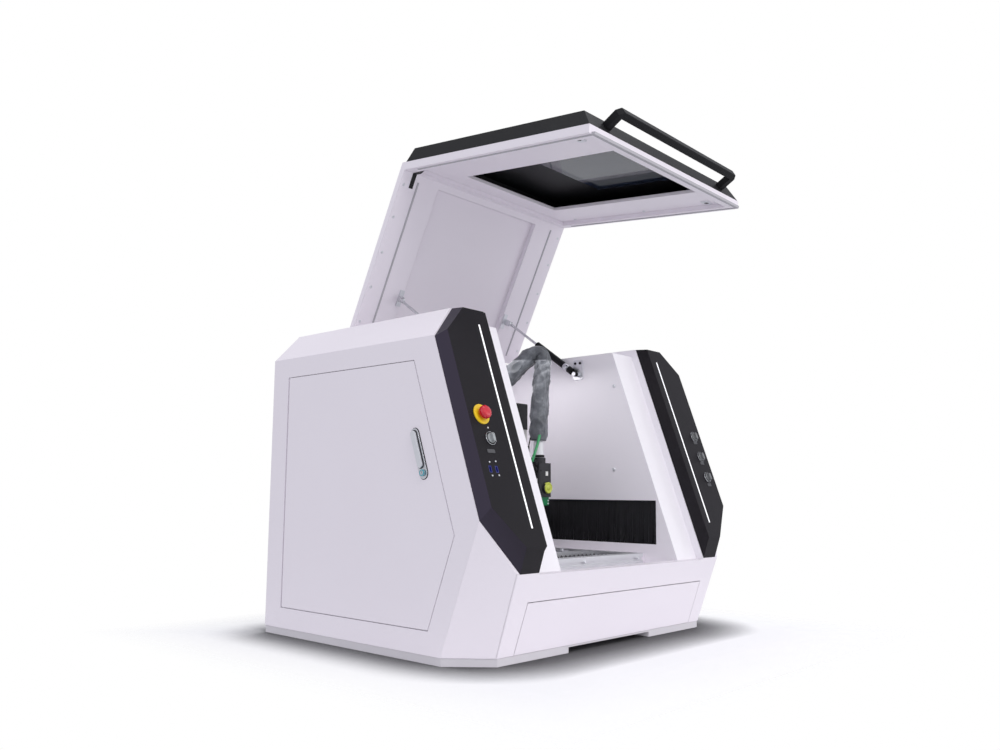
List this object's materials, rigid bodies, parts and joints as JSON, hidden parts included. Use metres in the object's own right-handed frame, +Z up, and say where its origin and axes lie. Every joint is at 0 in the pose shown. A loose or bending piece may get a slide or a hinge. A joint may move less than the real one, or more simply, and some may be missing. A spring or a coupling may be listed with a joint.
{
  "type": "laser cutting machine",
  "caption": "Enclosed bench laser cutter with a folded lift-up lid and tinted window, sloped black control pods, side doors, moving gantry and cutting head, slatted table and scrap drawer.",
  "frame": {"origin": "centre of the underside between the side faces, on the floor plane below the lid's working area", "axes": "+X to the right seen from the front, +Y to the rear, +Z up"},
  "size_m": [1.0186, 1.028, 1.2822],
  "materials": {
    "white_steel": "powder coated, fine texture",
    "base_steel": "powder coated",
    "frame_steel": "powder coated",
    "black_metal": "fine textured satin",
    "pod_plastic": "fine textured",
    "glass_tint": "tinted, clear",
    "aluminium_bar": "anodised satin",
    "rail_steel": "ground",
    "slat_steel": "cut blades",
    "zinc_steel": "zinc plated",
    "chrome": "polished",
    "brush_nylon": "bristles",
    "black_plastic": "moulded",
    "black_anodised": "anodised satin",
    "light_diffuser": "diffuse white",
    "yellow_plastic": "moulded",
    "red_plastic": "moulded",
    "knob_plastic": "satin grey",
    "blue_plastic": "moulded tongue in a steel shell",
    "seal_rubber": "soft",
    "sleeve_fabric": "pleated woven sleeve",
    "white_plastic": "satin",
    "nozzle_green": "anodised green with a copper tip",
    "case_steel": "powder coated",
    "duct_steel": "galvanised"
  },
  "bodies": {
    "frame": {"base_plate": "base_steel", "motion_frame": "frame_steel", "right_cheek": "white_steel", "left_cheek": "white_steel", "front_panel": "white_steel", "rear_panel": "white_steel", "right_inner_wall": "white_steel", "left_inner_wall": "white_steel", "cabin_rear_wall": "white_steel", "cabin_floor": "white_steel", "work_table": "aluminium_bar", "table_slats": "slat_steel", "table_clamps": "zinc_steel", "left_pod": "pod_plastic", "right_pod": "pod_plastic", "light_bars": "light_diffuser", "estop_disc": "yellow_plastic", "switch_rings": "chrome", "usb_ports": "blue_plastic", "slot_brushes": "brush_nylon", "strut_brackets": "zinc_steel", "hinge_leaves": "zinc_steel", "y_rails": "rail_steel", "y_drive": "black_metal", "laser_source": "case_steel", "electronics": "zinc_steel", "exhaust_spigot": "duct_steel", "power_inlet": "black_plastic", "door_pins": "zinc_steel"},
    "lid": {"lid_shell": "white_steel", "window_cover": "pod_plastic", "window_glass": "glass_tint", "lid_handle": "black_metal", "lid_seal": "seal_rubber", "lid_fittings": "zinc_steel", "lid_leaves": "zinc_steel"},
    "left_strut": {"left_strut_tube": "black_metal"},
    "right_strut": {"right_strut_tube": "black_metal"},
    "left_piston": {"left_strut_rod": "rail_steel"},
    "right_piston": {"right_strut_rod": "rail_steel"},
    "left_side_door": {"left_door": "white_steel", "left_lock_plate": "chrome"},
    "right_side_door": {"right_door": "white_steel", "right_lock_plate": "chrome"},
    "left_lever": {"left_lock_lever": "zinc_steel"},
    "right_lever": {"right_lock_lever": "zinc_steel"},
    "gantry": {"gantry_beam": "black_anodised"},
    "carriage": {"x_carriage": "black_anodised", "z_motor": "black_metal"},
    "head": {"cutting_head": "black_anodised", "collimator": "white_plastic", "nozzle": "nozzle_green", "head_cables": "sleeve_fabric"},
    "ball_screw": {"y_screw": "rail_steel"},
    "stop_button": {"estop_head": "red_plastic"},
    "selector": {"selector_knob": "knob_plastic"},
    "switch_1": {"switch_knob_1": "knob_plastic"},
    "switch_2": {"switch_knob_2": "knob_plastic"},
    "switch_3": {"switch_knob_3": "knob_plastic"},
    "drawer": {"scrap_drawer": "white_steel"}
  },
  "joints": [
    {"name": "lid_hinge", "type": "hinge", "parent": "frame", "child": "lid", "pos_m": [0, 0.373, 0.8], "axis": [-1, 0, 0], "range_deg": [-64, 0]},
    {"name": "left_strut_pivot", "type": "hinge", "parent": "frame", "child": "left_strut", "pos_m": [-0.233, 0.016, 0.724], "axis": [-1, 0, 0], "range_deg": [0, 25.57]},
    {"name": "left_piston_slide", "type": "slide", "parent": "left_strut", "child": "left_piston", "axis": [0, 0.8159, 0.5781], "range_m": [-0.09979, 0]},
    {"name": "left_door_hinge", "type": "hinge", "parent": "frame", "child": "left_side_door", "pos_m": [-0.495, 0.407, 0.368], "axis": [0, 0, -1], "range_deg": [0, 95]},
    {"name": "left_lever_turn", "type": "hinge", "parent": "left_side_door", "child": "left_lever", "pos_m": [-0.5, -0.09157, 0.49833], "axis": [-1, 0, 0], "range_deg": [0, 90]},
    {"name": "right_strut_pivot", "type": "hinge", "parent": "frame", "child": "right_strut", "pos_m": [0.233, 0.016, 0.724], "axis": [-1, 0, 0], "range_deg": [0, 25.57]},
    {"name": "right_piston_slide", "type": "slide", "parent": "right_strut", "child": "right_piston", "axis": [0, 0.8159, 0.5781], "range_m": [-0.09979, 0]},
    {"name": "right_door_hinge", "type": "hinge", "parent": "frame", "child": "right_side_door", "pos_m": [0.495, 0.407, 0.368], "axis": [0, 0, 1], "range_deg": [0, 95]},
    {"name": "right_lever_turn", "type": "hinge", "parent": "right_side_door", "child": "right_lever", "pos_m": [0.5, -0.09157, 0.49833], "axis": [-1, 0, 0], "range_deg": [0, 90]},
    {"name": "gantry_y", "type": "slide", "parent": "frame", "child": "gantry", "axis": [0, -1, 0], "range_m": [-0.1, 0.11], "deforming": ["slot_brushes"]},
    {"name": "carriage_x", "type": "slide", "parent": "gantry", "child": "carriage", "axis": [1, 0, 0], "range_m": [-0.15, 0.13]},
    {"name": "head_z", "type": "slide", "parent": "carriage", "child": "head", "axis": [0, 0, 1], "range_m": [-0.095, 0], "deforming": ["head_cables"]},
    {"name": "screw_spin", "type": "hinge", "parent": "frame", "child": "ball_screw", "pos_m": [-0.335, 0.1, 0.273], "axis": [0, 1, 0], "range_deg": [-3601, 3961]},
    {"name": "stop_press", "type": "slide", "parent": "frame", "child": "stop_button", "axis": [0, 0.9421, -0.3355], "range_m": [0, 0.004]},
    {"name": "selector_turn", "type": "hinge", "parent": "frame", "child": "selector", "pos_m": [-0.442, -0.26959, 0.486], "axis": [0, -0.9421, 0.3355], "range_deg": [-90, 90]},
    {"name": "switch_1_turn", "type": "hinge", "parent": "frame", "child": "switch_1", "pos_m": [0.452, -0.25108, 0.538], "axis": [0, -0.9421, 0.3355], "range_deg": [-45, 45]},
    {"name": "switch_2_turn", "type": "hinge", "parent": "frame", "child": "switch_2", "pos_m": [0.452, -0.27209, 0.479], "axis": [0, -0.9421, 0.3355], "range_deg": [-45, 45]},
    {"name": "switch_3_turn", "type": "hinge", "parent": "frame", "child": "switch_3", "pos_m": [0.452, -0.29309, 0.42], "axis": [0, -0.9421, 0.3355], "range_deg": [-45, 45]},
    {"name": "drawer_slide", "type": "slide", "parent": "frame", "child": "drawer", "axis": [0, -1, 0], "range_m": [0, 0.3]}
  ],
  "couplings": [
    {"joint": "left_strut_pivot", "follows": "lid_hinge", "ratio": -0.39868},
    {"joint": "left_piston_slide", "follows": "lid_hinge", "m_per_rad": 0.089249},
    {"joint": "right_strut_pivot", "follows": "lid_hinge", "ratio": -0.39868},
    {"joint": "right_piston_slide", "follows": "lid_hinge", "m_per_rad": 0.089249},
    {"joint": "screw_spin", "follows": "gantry_y", "rad_per_m": 628.32}
  ]
}
